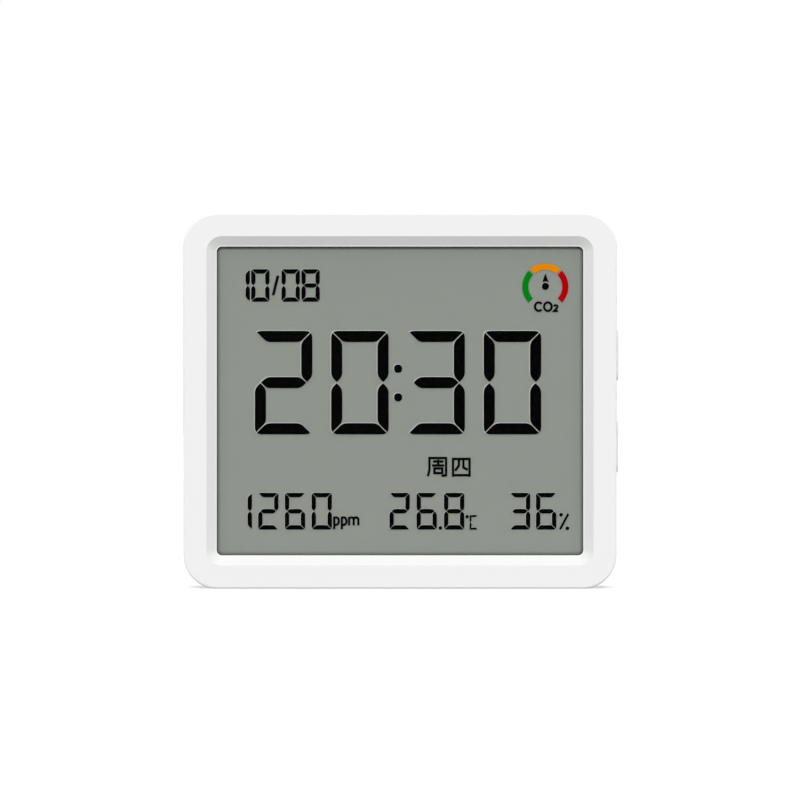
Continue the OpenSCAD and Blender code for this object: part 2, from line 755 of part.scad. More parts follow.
module stand_recess() {
    block(-recess_x, recess_x, recess_low, recess_high, recess_floor, body_d + cut);
    block(-recess_x, recess_x, hinge_up - leg_gap, recess_high, stop_at, recess_floor + cut);
    for (s = [-1, 1]) translate([s * recess_x, scoop_up, 0]) rod(scoop_r, body_d - scoop_d, body_d + cut);
    on_side() translate([hinge_up, hinge_at, 0])
        rod(axle_r + run, axle_wall - pocket_wall, pocket_wall - axle_wall);
}

module air_slots() {
    for (n = [0 : slot_count - 1])
        translate([(n - (slot_count - 1) / 2) * slot_pitch, slot_up, cover_inside - cut])
            linear_extrude(wall + 2 * cut) slot_shape(slot_len, slot_w);
    for (s = [-1, 1], n = [0 : side_slot_count - 1])
        translate([s * (side_slot_x + n * slot_pitch), side_slot_up, cover_inside - cut])
            linear_extrude(wall + 2 * cut) slot_shape(side_slot_len, slot_w);
}

module rear_cover() color("whitesmoke") stand_up() difference() {
    union() {
        difference() {
            sectioned_block(body_w, body_h, corner_r, parting, body_d)
                edge_section(corner_r, parting, body_d, parting_r, back_edge_r);
            sectioned_block(2 * inner_x, 2 * inner_up, inner_r, parting - cut, cover_inside)
                edge_section(inner_r, parting - cut, cover_inside, 0, back_edge_r - wall);
        }
        ring(inner_x - fit, inner_up - fit, inner_r - fit, tongue_t, parting - tongue_len, parting);
        ring(inner_x + tongue_sink, inner_up + tongue_sink, inner_r + tongue_sink,
             tongue_t + fit + tongue_sink, parting, parting + tongue_len);
        block(-pocket_wall, pocket_wall, recess_low - floor_t, recess_high + floor_t, stop_at - floor_t,
              cover_inside + wall / 2);
        at_corners(case_screw_x, case_screw_up)
            rod(case_screw[1] + head_slack + well_t, boss_top, cover_inside + wall / 2);
        for (s = [-1, 1]) translate([s * recess_x, scoop_up, 0])
            rod(scoop_r + floor_t, body_d - scoop_d - floor_t, cover_inside + wall / 2);
    }
    stand_recess();
    air_slots();
    at_corners(case_screw_x, case_screw_up) {
        rod(case_screw[1] + head_slack, seat_at, body_d + cut);
        rod(case_screw[0] + hole_slack, boss_top - cut, seat_at + cut);
    }
}

// ---- Screws ----

module case_screws() color("silver") stand_up() at_corners(case_screw_x, case_screw_up)
    screw(case_screw, case_shank, seat_at);

module carrier_screws() color("silver") stand_up() at_corners(post_x, post_up)
    screw(small_screw, plate_back - lip_back - screw_end_gap, plate_back);

module board_screws() color("silver") stand_up() at_corners(board_screw_x, board_screw_up)
    screw(small_screw, board_back - plate_back + carrier_t / 2 - screw_end_gap, board_back);

// ---- Stand ----

module leg_outline() {
    translate([0, (leg_tip + hinge_up) / 2]) rounded_rect(leg_w, hinge_up - leg_tip, leg_corner_r);
    translate([-leg_w / 2, hinge_up - 2 * leg_corner_r]) square([leg_w, 2 * leg_corner_r + heel]);
}

// Hollow underside of the leg, in three bays between its ribs
module leg_bays() {
    bay = (leg_w - 2 * leg_rim - 2 * leg_rib_t) / 3;
    for (n = [-1 : 1]) translate([n * (bay + leg_rib_t), (bay_low + bay_high) / 2, 0])
        rounded_plate(bay, bay_high - bay_low, bay_r, leg_front - cut, leg_back - leg_skin);
}

module stand_leg() color("whitesmoke") stand_up() difference() {
    union() {
        translate([0, 0, leg_front]) linear_extrude(leg_t) leg_outline();
        on_side() translate([hinge_up, hinge_at, 0])
            rod(axle_r, -leg_w / 2 - axle_len, leg_w / 2 + axle_len);
    }
    leg_bays();
    block(-foot_len / 2, foot_len / 2, leg_tip - cut, leg_tip + foot_depth,
          hinge_at - foot_t / 2, hinge_at + foot_t / 2);
}

module stand_pad() color("dimgray") stand_up()
    block(-foot_len / 2, foot_len / 2, leg_tip - pad_proud, leg_tip + foot_depth,
          hinge_at - foot_t / 2, hinge_at + foot_t / 2);

front_housing();
display_lens();
lens_gasket();
lcd_front_film();
lcd_front_pane();
lcd_rear_pane();
lcd_reflector();
lcd_carrier();
contact_strip();
main_board();
microcontroller();
charger_chip();
quartz_crystal();
chip_passives();
co2_board();
co2_header();
co2_pins();
co2_chamber();
co2_filter();
co2_seal();
humidity_sensor();
usb_shell();
usb_tongue();
usb_contacts();
battery_cell();
battery_pad();
battery_lead_red();
battery_lead_black();
battery_plug();
battery_socket();
side_button(button_pitch / 2);  // upper_button
side_switch(button_pitch / 2);  // upper_switch
switch_plunger(button_pitch / 2);  // upper_plunger
side_button(-button_pitch / 2);  // lower_button
side_switch(-button_pitch / 2);  // lower_switch
switch_plunger(-button_pitch / 2);  // lower_plunger
rear_cover();
case_screws();
carrier_screws();
board_screws();
stand_leg();
stand_pad();
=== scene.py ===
"""Finishes, display readings and studio for a desk carbon dioxide monitor.

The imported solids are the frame. They keep their shapes and places and get their materials here. Only the
display cell's panes and films are made anew, with the bars, signs and gauge that are too thin for solids.
Lengths are metres, unless the text beside them says millimetres.
"""
import math

import bmesh
import bpy
from bpy.props import FloatProperty, FloatVectorProperty, PointerProperty, StringProperty
from mathutils import Matrix, Vector


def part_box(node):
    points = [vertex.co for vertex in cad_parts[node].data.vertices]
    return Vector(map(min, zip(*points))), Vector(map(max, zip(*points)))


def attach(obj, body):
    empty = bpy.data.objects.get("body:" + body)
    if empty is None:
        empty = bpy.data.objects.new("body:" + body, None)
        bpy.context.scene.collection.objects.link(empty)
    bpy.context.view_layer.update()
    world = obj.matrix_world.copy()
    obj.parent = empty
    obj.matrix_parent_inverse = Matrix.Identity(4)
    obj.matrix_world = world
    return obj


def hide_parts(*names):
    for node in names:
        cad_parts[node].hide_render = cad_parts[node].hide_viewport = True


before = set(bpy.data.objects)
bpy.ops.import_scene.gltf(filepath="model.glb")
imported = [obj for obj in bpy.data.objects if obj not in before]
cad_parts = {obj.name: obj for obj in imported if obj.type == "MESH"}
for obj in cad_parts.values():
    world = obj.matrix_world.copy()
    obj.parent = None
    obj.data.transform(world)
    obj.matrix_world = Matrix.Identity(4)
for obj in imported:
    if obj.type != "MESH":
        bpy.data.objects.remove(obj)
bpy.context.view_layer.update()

bl_info = {
    "name": "Carbon Dioxide Monitor",
    "version": (1, 0, 0),
    "blender": (4, 5, 0),
    "location": "View3D > Sidebar > Monitor",
    "description": "Finishes the monitor's pieces, draws its display and sets its studio",
    "category": "Object",
}

MM = 0.001

# ---------------------------------------------------------------- sizes and colours


def length(name, description, millimetres):
    """A size that the user can change, given in millimetres and kept in metres."""
    return FloatProperty(name=name, description=description, default=millimetres * MM, unit="LENGTH",
                         precision=5)


def size_pair(name, description, width, height):
    return FloatVectorProperty(name=name, description=description, size=2, default=(width * MM, height * MM),
                               unit="LENGTH", precision=5)


def colour(name, description, red, green, blue):
    return FloatVectorProperty(name=name, description=description, subtype="COLOR", size=3,
                               default=(red, green, blue), min=0, max=1)


class CaseSettings(bpy.types.PropertyGroup):
    shell: colour("Shell", "Moulded plastic of the case, the cover and the stand", 0.85, 0.85, 0.847)
    button: colour("Button", "Moulded plastic of the side buttons", 0.85, 0.855, 0.85)
    grain: length("Grain", "Width of one grain of the moulded texture", 0.22)
    grain_height: length("Grain height", "Height of the moulded texture", 0.006)


class DisplaySettings(bpy.types.PropertyGroup):
    backing: colour("Backing", "Reflecting film behind the cell", 0.321, 0.347, 0.312)
    bar: colour("Bar", "A lit bar of a digit", 0.0008, 0.0008, 0.0008)
    # colour of the painted highlight that shows past the bars' upper and left edges, as if light caught them
    painted_highlight: colour("Painted highlight", "Pale edge of a bar's electrode", 0.78, 0.79, 0.77)
    good: colour("Good band", "Gauge band for fresh air", 0.0, 0.24, 0.008)
    fair: colour("Fair band", "Gauge band for used air", 0.91, 0.285, 0.0)
    poor: colour("Poor band", "Gauge band for stale air", 0.48, 0.0, 0.002)
    date: StringProperty(name="Date", description="Month and day", default="10/08")
    clock: StringProperty(name="Clock", description="Hours and minutes", default="20:30")
    gas: StringProperty(name="Gas", description="Carbon dioxide reading", default="1260")
    warmth: StringProperty(name="Warmth", description="Temperature reading", default="26.8")
    damp: StringProperty(name="Damp", description="Humidity reading", default="36")
    clock_digit: size_pair("Clock digit", "Width and height of a clock digit", 12.0, 21.55)
    clock_stroke: length("Clock stroke", "Width of a clock digit's bars", 2.35)
    date_digit: size_pair("Date digit", "Width and height of a date digit", 3.85, 6.77)
    row_digit: size_pair("Row digit", "Width and height of a digit in the lower row", 4.25, 7.64)
    small_stroke: length("Small stroke", "Width of the bars in the small digits", 0.93)
    clock_gap: length("Clock gap", "Gap between a clock digit's bars", 0.12)
    small_gap: length("Small gap", "Gap between a small digit's bars", 0.05)
    window: size_pair("Window", "Width and height of the display that shows", 76.0, 64.0)
    bar_depth: length("Bar depth", "Thickness of a bar in the cell", 0.02)
    gauge_radius: length("Gauge radius", "Outer radius of the gauge", 4.81)
    gauge_band: length("Gauge band", "Width of the gauge's coloured bands", 1.29)


class StageSettings(bpy.types.PropertyGroup):
    floor: colour("Floor", "Studio floor", 0.9, 0.9, 0.9)
    glow: FloatProperty(name="Floor glow", description="Light that comes up through the floor", default=0.3)
    key: FloatProperty(name="Key light", description="Strength of the high front light", default=1.83)
    top: FloatProperty(name="Top light", description="Strength of the overhead light", default=0.7)
    rear: FloatProperty(name="Rear light", description="Strength of the light from behind", default=1.0)
    sky: FloatProperty(name="Sky", description="Strength of the light from all round above", default=0.557)
    ground: FloatProperty(name="Ground", description="Strength of the light from all round below",
                          default=0.337)
    side: FloatProperty(name="Side lights", description="Strength of each light from the side", default=1.0)
    key_angle: FloatProperty(name="Key angle", description="Height of the key light", subtype="ANGLE",
                             default=math.radians(22))
    lens: FloatProperty(name="Lens", description="Focal length of the camera in millimetres", default=300)
    view_width: length("View width", "Width of what the camera takes in at the case's face", 166.1)


# ---------------------------------------------------------------- places taken from the frame

CASE_LOW, CASE_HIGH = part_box("front_housing")
FACE_Y = CASE_LOW.y
MIDDLE_Z = (CASE_LOW.z + CASE_HIGH.z) / 2
BAR_SINK = 0.04 * MM          # how far the bars lie inside the cell's front
BACKING_SINK = 0.16 * MM      # how far the grey backing lies behind them, so that they shade it
BAR_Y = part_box("lcd_front_film")[0].y + BAR_SINK
BACKING_Y = BAR_Y + BACKING_SINK
BACKING_GAP = 0.01 * MM       # between the clear front and the backing
PANE_EDGE = 0.05 * MM         # width of the bevel round the clear front
PAINTED_SHADE_REACH = 0.7 * MM       # width of the painted shade along the backing's border, standing in for the window rim's shadow
PAINTED_SHADE_CORNER = 1.2 * MM      # its corner radius
PAINTED_SHADE_EDGE = 0.5            # how much of the backing's colour the painted shade leaves on the outline


def on_panel(depth_y, x=0.0, z=0.0):
    """Puts what is drawn flat, x to the right and y up, on the display at that depth."""
    return Matrix.Translation((x, depth_y, MIDDLE_Z + z)) @ Matrix.Rotation(math.pi / 2, 4, "X")


# ---------------------------------------------------------------- materials


def new_group(name, inputs, outputs):
    """A shader node group with named sockets. Returns it with its input and output nodes."""
    group = bpy.data.node_groups.new(name, "ShaderNodeTree")
    for socket, kind, value in inputs:
        made = group.interface.new_socket(name=socket, in_out="INPUT", socket_type=kind)
        made.default_value = value
    for socket, kind in outputs:
        group.interface.new_socket(name=socket, in_out="OUTPUT", socket_type=kind)
    start = group.nodes.new("NodeGroupInput")
    end = group.nodes.new("NodeGroupOutput")
    start.location, end.location = (-900, 0), (600, 0)
    return group, start, end


def set_inputs(node, **values):
    """Sets a node's inputs by their names, written small and with underscores for spaces."""
    for key, value in values.items():
        label = key.replace("_", " ")
        socket = next(socket for socket in node.inputs if socket.name.lower() == label)
        socket.default_value = value


def add_node(tree, kind, place, **values):
    """A node at a place in the editor, with attributes and input values by name."""
    node = tree.nodes.new(kind)
    node.location = place
    for key, value in values.items():
        if hasattr(node, key):
            setattr(node, key, value)
        else:
            set_inputs(node, **{key: value})
    return node


def math_node(tree, place, operation, first, second):
    """A Math node, each of whose two inputs is a socket or a number."""
    node = add_node(tree, "ShaderNodeMath", place, operation=operation)
    for index, value in enumerate((first, second)):
        if isinstance(value, bpy.types.NodeSocket):
            tree.links.new(value, node.inputs[index])
        else:
            node.inputs[index].default_value = value
    return node.outputs["Value"]


def scale_colour(tree, place, colour, factor):
    """A colour socket times a factor socket."""
    node = add_node(tree, "ShaderNodeVectorMath", place, operation="SCALE")
    tree.links.new(colour, node.inputs[0])
    tree.links.new(factor, node.inputs["Scale"])
    return node.outputs["Vector"]


FLOAT, COLOUR = "NodeSocketFloat", "NodeSocketColor"

PAINTED_HOLLOW_SHADE, PAINTED_SHADE_RISE = 0.75, 0.5     # painted shade: foam's colour in a cell's hollow middle, and what it gains outwards
STREAK_SHADE, STREAK_ROUGHNESS = 0.18, 0.25   # how far a streak moves metal's shade and roughness
STREAK_SLOWNESS = 0.06                   # how fast streaks change along their length, against across it
HAZE = 0.04                              # the most that haze adds to a clear sheet's roughness


def moulded_grain_group():
    """The even, fine texture of a spark-eroded mould, with a faint uneven tone."""
    group, start, end = new_group(
        "Moulded grain",
        [("Colour", COLOUR, (0.8, 0.8, 0.8, 1)), ("Grain", FLOAT, 0.0003), ("Tone", FLOAT, 0.03),
         ("Roughness", FLOAT, 0.5), ("Roughness Spread", FLOAT, 0.06)],
        [("Colour", COLOUR), ("Roughness", FLOAT), ("Height", FLOAT)])
    place = add_node(group, "ShaderNodeTexCoord", (-900, -300)).outputs["Object"]
    fineness = math_node(group, (-700, -150), "DIVIDE", 1.0, start.outputs["Grain"])
    fine = add_node(group, "ShaderNodeTexNoise", (-500, 0), detail=3.0, roughness=0.6)
    broad = add_node(group, "ShaderNodeTexNoise", (-500, -300), scale=45.0, detail=4.0, roughness=0.55)
    group.links.new(place, fine.inputs["Vector"])
    group.links.new(place, broad.inputs["Vector"])
    group.links.new(fineness, fine.inputs["Scale"])
    swing = math_node(group, (-250, -250), "SUBTRACT", broad.outputs["Fac"], 0.5)
    shade = math_node(group, (-100, -250), "MULTIPLY", swing, start.outputs["Tone"])
    speck = math_node(group, (-250, 150), "SUBTRACT", fine.outputs["Fac"], 0.5)
    speck = math_node(group, (-100, 150), "MULTIPLY", speck, start.outputs["Tone"])
    total = math_node(group, (50, 0), "ADD", math_node(group, (50, -150), "ADD", shade, speck), 1.0)
    tint = scale_colour(group, (300, 100), start.outputs["Colour"], total)
    rough = math_node(group, (50, -400), "MULTIPLY", swing, start.outputs["Roughness Spread"])
    rough = math_node(group, (300, -300), "ADD", rough, start.outputs["Roughness"])
    group.links.new(tint, end.inputs["Colour"])
    group.links.new(rough, end.inputs["Roughness"])
    group.links.new(fine.outputs["Fac"], end.inputs["Height"])
    return group


def foam_group():
    """Closed-cell foam: small round cells, with painted shade darkening their hollows."""
    group, start, end = new_group(
        "Foam cells",
        [("Colour", COLOUR, (0.03, 0.03, 0.03, 1)), ("Cell", FLOAT, 0.0003)],
        [("Colour", COLOUR), ("Height", FLOAT)])
    place = add_node(group, "ShaderNodeTexCoord", (-900, -300)).outputs["Object"]
    fineness = math_node(group, (-700, -150), "DIVIDE", 1.0, start.outputs["Cell"])
    cells = add_node(group, "ShaderNodeTexVoronoi", (-450, 0), feature="F1")
    group.links.new(place, cells.inputs["Vector"])
    group.links.new(fineness, cells.inputs["Scale"])
    # painted shade: darker in each cell's hollow middle, lighter outwards
    gain = math_node(group, (-200, 200), "MULTIPLY", cells.outputs["Distance"], PAINTED_SHADE_RISE)
    light = math_node(group, (-200, 0), "ADD", gain, PAINTED_HOLLOW_SHADE)
    tint = scale_colour(group, (50, 100), start.outputs["Colour"], light)
    group.links.new(tint, end.inputs["Colour"])
    group.links.new(cells.outputs["Distance"], end.inputs["Height"])
    return group


def painted_border_shade_group():
    """How far a point lies inside a rectangle with round corners that faces the viewer, as a painted shade.

    The painted shade is Edge on the outline and grows to 1 at Reach inside it.
    """
    group, start, end = new_group(
        "Painted border shade",
        [("Half Width", FLOAT, 0.04), ("Half Height", FLOAT, 0.03), ("Middle", FLOAT, 0.04),
         ("Corner", FLOAT, 0.001), ("Reach", FLOAT, 0.001), ("Edge", FLOAT, 0.5)],
        [("Shade", FLOAT)])
    place = add_node(group, "ShaderNodeTexCoord", (-1500, 0)).outputs["Object"]
    split = add_node(group, "ShaderNodeSeparateXYZ", (-1300, 0))
    group.links.new(place, split.inputs[0])
    across = split.outputs["X"]
    along = math_node(group, (-1100, -200), "SUBTRACT", split.outputs["Z"], start.outputs["Middle"])
    corner = start.outputs["Corner"]
    past = []
    for row, (where, half) in enumerate(((across, "Half Width"), (along, "Half Height"))):
        out = math_node(group, (-900, -200 * row), "ABSOLUTE", where, 0)
        flat = math_node(group, (-900, -80 - 200 * row), "SUBTRACT", start.outputs[half], corner)
        past.append(math_node(group, (-700, -200 * row), "SUBTRACT", out, flat))
    squares = [math_node(group, (-350, 100 - 200 * row), "POWER",
                         math_node(group, (-500, 100 - 200 * row), "MAXIMUM", value, 0), 2)
               for row, value in enumerate(past)]
    round_part = math_node(group, (0, 100), "SQRT", math_node(group, (-150, 100), "ADD", *squares), 0)
    flat_part = math_node(group, (0, -100), "MINIMUM", math_node(group, (-150, -100), "MAXIMUM", *past), 0)
    inside = math_node(group, (300, 0), "SUBTRACT", corner,
                       math_node(group, (150, 0), "ADD", round_part, flat_part))
    fade = add_node(group, "ShaderNodeMapRange", (450, -200), from_min=0.0, to_max=1.0)
    group.links.new(inside, fade.inputs["Value"])
    group.links.new(start.outputs["Reach"], fade.inputs["From Max"])
    group.links.new(start.outputs["Edge"], fade.inputs["To Min"])
    group.links.new(fade.outputs["Result"], end.inputs["Shade"])
    return group


def brushed_group():
    """Metal drawn or rolled along one direction, with fine streaks."""
    group, start, end = new_group(
        "Drawn metal",
        [("Colour", COLOUR, (0.7, 0.7, 0.7, 1)), ("Streak", FLOAT, 0.0002), ("Roughness", FLOAT, 0.3)],
        [("Colour", COLOUR), ("Roughness", FLOAT), ("Height", FLOAT)])
    place = add_node(group, "ShaderNodeTexCoord", (-1100, -300)).outputs["Object"]
    stretch = add_node(group, "ShaderNodeMapping", (-900, -300), vector_type="POINT")
    set_inputs(stretch, scale=(STREAK_SLOWNESS, 1.0, 1.0))
    fineness = math_node(group, (-700, -150), "DIVIDE", 1.0, start.outputs["Streak"])
    streaks = add_node(group, "ShaderNodeTexNoise", (-500, 0), detail=4.0, roughness=0.65)
    group.links.new(place, stretch.inputs["Vector"])
    group.links.new(stretch.outputs["Vector"], streaks.inputs["Vector"])
    group.links.new(fineness, streaks.inputs["Scale"])
    swing = math_node(group, (-250, 0), "SUBTRACT", streaks.outputs["Fac"], 0.5)
    shade = math_node(group, (-50, 150), "ADD",
                      math_node(group, (-150, 250), "MULTIPLY", swing, STREAK_SHADE), 1.0)
    tint = scale_colour(group, (150, 150), start.outputs["Colour"], shade)
    rough = math_node(group, (150, -150), "ADD",
                      math_node(group, (0, -150), "MULTIPLY", swing, STREAK_ROUGHNESS),
                      start.outputs["Roughness"])
    group.links.new(tint, end.inputs["Colour"])
    group.links.new(rough, end.inputs["Roughness"])
    group.links.new(streaks.outputs["Fac"], end.inputs["Height"])
    return group


def shared_group(maker):
    """The node group that maker makes, built once."""
    key = maker.__name__
    if key not in shared_group.made:
        shared_group.made[key] = maker()
    return shared_group.made[key]


shared_group.made = {}


def start_material(name):
    """A material with nothing but a Principled BSDF and its output."""
    material = bpy.data.materials.new(name)
    material.use_nodes = True
    tree = material.node_tree
    tree.nodes.clear()
    surface = add_node(tree, "ShaderNodeOutputMaterial", (600, 0))
    shader = add_node(tree, "ShaderNodeBsdfPrincipled", (300, 0))
    tree.links.new(shader.outputs["BSDF"], surface.inputs["Surface"])
    return material, tree, shader


def use_group(tree, maker, **values):
    node = add_node(tree, "ShaderNodeGroup", (-300, 0))
    node.node_tree = shared_group(maker)
    set_inputs(node, **values)
    return node


def textured(name, maker, rgb, height, looks, **values):
    """A material whose colour, relief and, where it has one, roughness come from a texture group.

    height is the relief's depth in metres, and looks are values of the Principled BSDF.
    """
    material, tree, shader = start_material(name)
    group = use_group(tree, maker, colour=(*rgb, 1), **values)
    tree.links.new(group.outputs["Colour"], shader.inputs["Base Color"])
    if "Roughness" in group.outputs:
        tree.links.new(group.outputs["Roughness"], shader.inputs["Roughness"])
    set_inputs(shader, **looks)
    bump = add_node(tree, "ShaderNodeBump", (50, -300), strength=1.0, distance=height)
    tree.links.new(group.outputs["Height"], bump.inputs["Height"])
    tree.links.new(bump.outputs["Normal"], shader.inputs["Normal"])
    return material


def plastic(name, rgb, grain=0.0003, height=4e-6, tone=0.03, roughness=0.5, specular=0.5):
    """Moulded plastic."""
    return textured(name, moulded_grain_group, rgb, height, {"specular_ior_level": specular},
                    grain=grain, tone=tone, roughness=roughness)


def foam(name, rgb, cell=0.0003, height=3e-5):
    """Foam or porous rubber."""
    return textured(name, foam_group, rgb, height, {"roughness": 0.9, "specular_ior_level": 0.1}, cell=cell)


def metal(name, rgb, streak=0.0002, roughness=0.3, height=2e-6):
    """Plated, drawn or rolled metal."""
    return textured(name, brushed_group, rgb, height, {"metallic": 1.0}, streak=streak, roughness=roughness)


def paint_border_shade(material, **values):
    """Paints shade into a material's colour: darker towards the outline of a rectangle."""
    tree = material.node_tree
    shader = next(node for node in tree.nodes if node.type == "BSDF_PRINCIPLED")
    shade = use_group(tree, painted_border_shade_group, **values)
    shade.location = (-300, 300)
    colour = shader.inputs["Base Color"].links[0].from_socket
    tint = scale_colour(tree, (50, 200), colour, shade.outputs["Shade"])
    tree.links.new(tint, shader.inputs["Base Color"])


def clear(name, rgb, alpha, roughness, specular=0.5):
    """A thin clear sheet, which lets light and shadow through and keeps a faint gloss."""
    material, tree, shader = start_material(name)
    set_inputs(shader, base_color=(*rgb, 1), alpha=alpha, specular_ior_level=specular)
    place = add_node(tree, "ShaderNodeTexCoord", (-700, 0)).outputs["Object"]
    haze = add_node(tree, "ShaderNodeTexNoise", (-500, 0), scale=60.0, detail=3.0)
    tree.links.new(place, haze.inputs["Vector"])
    rough = math_node(tree, (-100, 0), "ADD",
                      math_node(tree, (-300, 0), "MULTIPLY", haze.outputs["Fac"], HAZE), roughness)
    tree.links.new(rough, shader.inputs["Roughness"])
    return material


def dress(material, *nodes):
    """Gives the named solids a material in place of what they came with."""
    for name in nodes:
        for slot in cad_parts[name].material_slots:
            slot.material = material


# ---------------------------------------------------------------- flat shapes for the display


def finish_piece(bm, name, material):
    """Closes a bmesh into a piece that rides on the case's body."""
    bmesh.ops.recalc_face_normals(bm, faces=bm.faces)
    mesh = bpy.data.meshes.new(name)
    bm.to_mesh(mesh)
    bm.free()
    mesh.materials.append(material)
    piece = bpy.data.objects.new(name, mesh)
    bpy.context.scene.collection.objects.link(piece)
    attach(piece, "root")
    return piece


def sweep(bm, x, y, z):
    """Extrudes the faces of a bmesh by that much or, where it has none, its edges."""
    if len(bm.faces):
        made = bmesh.ops.extrude_face_region(bm, geom=bm.faces[:])
    else:
        made = bmesh.ops.extrude_edge_only(bm, edges=bm.edges[:])
    raised = [item for item in made["geom"] if isinstance(item, bmesh.types.BMVert)]
    bmesh.ops.translate(bm, verts=raised, vec=(x, y, z))


def round_corners(bm, verts, radius):
    bmesh.ops.bevel(bm, geom=verts, offset=radius, offset_type="OFFSET", affect="VERTICES", segments=4,
                    profile=0.5, material=-1, clamp_overlap=True)


# A bar's ends, as shares of its stroke
TIP_RUN = 0.44               # where a mitred end leaves the outer side
TIP_DROP = 0.13              # how far in its tip lies
TIP_ROUND = 0.2              # radius of its tip
SHOULDER_ROUND = 0.34        # radius of a bar's blunt corners


def add_bar(bm, place, run, stroke, gap, mitred):
    """One bar of a digit, drawn along +X with its outer side on y = 0.

    A mitred end lies in a corner of the digit, and a pointed end meets the digit's other bars half-way up.
    """
    apart = gap / math.sqrt(2)
    drop = TIP_DROP * stroke

    def mitre():
        return [(TIP_RUN * stroke, 0), (drop + apart, -drop), (stroke + apart, -stroke)]

    def point():
        return [(apart + stroke / 2, 0), (apart, -stroke / 2), (apart + stroke / 2, -stroke)]

    first = mitre() if mitred[0] else point()
    last = [(run - x, y) for x, y in (mitre() if mitred[1] else point())]
    corners = [bm.verts.new((x, y, 0)) for x, y in first + last[::-1]]
    bm.faces.new(corners)
    shoulders = [corners[2], corners[3]]
    tips = []
    for at, is_mitred in ((0, mitred[0]), (5, mitred[1])):
        (tips if is_mitred else shoulders).append(corners[at])
    bmesh.ops.transform(bm, matrix=place, verts=corners)
    round_corners(bm, shoulders, SHOULDER_ROUND * stroke)
    if tips:
        round_corners(bm, tips, TIP_ROUND * stroke)


def flat_map(xx, xy, yx, yy, x, y):
    """A matrix for flat shapes: the new x and y as sums of the old, and an offset."""
    return Matrix(((xx, xy, 0, x), (yx, yy, 0, y), (0, 0, 1, 0), (0, 0, 0, 1)))


BARS = {"0": "abcdef", "1": "bc", "2": "abdeg", "3": "abcdg", "4": "bcfg", "5": "acdfg", "6": "acdefg",
        "7": "abc", "8": "abcdefg", "9": "abcdfg", "C": "adef", " ": ""}


def add_digit(bm, sign, centre, size, stroke, gap, grow=0.0):
    """The lit bars of one seven-bar digit. grow widens every bar on all sides."""
    width, height = size[0] + 2 * grow, size[1] + 2 * grow
    stroke, gap = stroke + 2 * grow, max(gap - 2 * grow, 0)
    left, right = centre[0] - width / 2, centre[0] + width / 2
    low, high = centre[1] - height / 2, centre[1] + height / 2
    bars = {
        "a": (flat_map(1, 0, 0, 1, left, high), width, (True, True)),
        "d": (flat_map(1, 0, 0, -1, left, low), width, (True, True)),
        "f": (flat_map(0, -1, -1, 0, left, high), height / 2, (True, False)),
        "b": (flat_map(0, 1, -1, 0, right, high), height / 2, (True, False)),
        "e": (flat_map(0, -1, 1, 0, left, low), height / 2, (True, False)),
        "c": (flat_map(0, 1, 1, 0, right, low), height / 2, (True, False)),
        "g": (flat_map(1, 0, 0, 1, left + stroke / 2, centre[1] + stroke / 2), width - stroke,
              (False, False)),
    }
    for letter in BARS[sign]:
        place, run, mitred = bars[letter]
        add_bar(bm, place, run, stroke, gap, mitred)


SPOT_ROUND = 0.4             # corner radius of a decimal point or colon, as a share of its size
DOT_ROUND = 0.5              # and of a round dot
ROUND_LIMIT = 0.98           # the most of its half width that a corner may take up


def add_spot(bm, centre, size, rounding, grow=0.0):
    """A small square with round corners, such as a decimal point."""
    reach = size / 2 + grow
    corners = [bm.verts.new((centre[0] + x * reach, centre[1] + y * reach, 0))
               for x, y in ((-1, -1), (1, -1), (1, 1), (-1, 1))]
    bm.faces.new(corners)
    round_corners(bm, corners, min(rounding * size + grow, ROUND_LIMIT * reach))


# Middles of the digits, right and up from the middle of the display, in millimetres
CLOCK_PLACES = [(-24.23, 3.82), (-8.36, 3.82), (7.51, 3.82), (23.38, 3.82)]
COLON_PLACES = [(-0.41, 6.73), (-0.41, 0.77)]
DATE_PLACES = [(-33.16, 24.04), (-29.08, 24.04), (-22.76, 24.04), (-18.62, 24.04)]
GAS_PLACES = [(-32.93, -22.93), (-27.42, -22.93), (-21.86, -22.93), (-16.30, -22.93)]
WARMTH_PLACES = [(-0.10, -22.93), (5.54, -22.93), (11.25, -22.93)]
DAMP_PLACES = [(24.97, -22.93), (30.39, -22.93)]
POINT_PLACE = (8.38, -26.4)
DEGREE_PLACE = (13.95, -24.06)
CELSIUS_PLACE = (15.3, -25.24)
PER_CENT_PLACES = [(33.49, -23.65), (34.82, -26.46)]
GAUGE_PLACE = (30.23, 23.76)

# Sizes of spots and widths of strokes, in millimetres
COLON_SPOT = 1.7
POINT_SPOT = 0.75
DEGREE_SPOT = 0.74
PER_CENT_SPOT = 0.78
HUB_SPOT = 1.52
SLASH_STROKE = 0.56
LETTER_STROKE = 0.46
PER_CENT_STROKE = 0.44
WEEKDAY_STROKE = 0.48
FIGURE_STROKE = 0.42

# The Celsius sign is a seven-bar C: its width and height, stroke and gap
CELSIUS_BARS = (1.74 * MM, 3.04 * MM), 0.44 * MM, 0.02 * MM

# The gauge's bands in degrees, each named after its colour's setting, and its pointer
GAUGE_BANDS = {"poor": (-43.5, 44.5), "fair": (49.5, 130.5), "good": (135.5, 223.5)}
POINTER_HALF = 0.7 * MM
POINTER_FOOT = 0.95 * MM
POINTER_NOTCH = 1.14 * MM
POINTER_TIP = 2.85 * MM
HUB_RISE = 0.1 * MM

HIGHLIGHT_GROW = 0.055 * MM       # how far the painted highlight shows past a bar
# The painted highlight is shifted up and to the left, so that the bars look lit along those edges.
HIGHLIGHT_SHIFT = (-0.06 * MM, 0.06 * MM)
HIGHLIGHT_BEHIND = 0.03 * MM
SMALL_HIGHLIGHT = 0.55            # share of that painted highlight on the small digits and the pointer
UNIT_HIGHLIGHT = 0.4              # and on the unit marks


def in_metres(place):
    return place[0] * MM, place[1] * MM


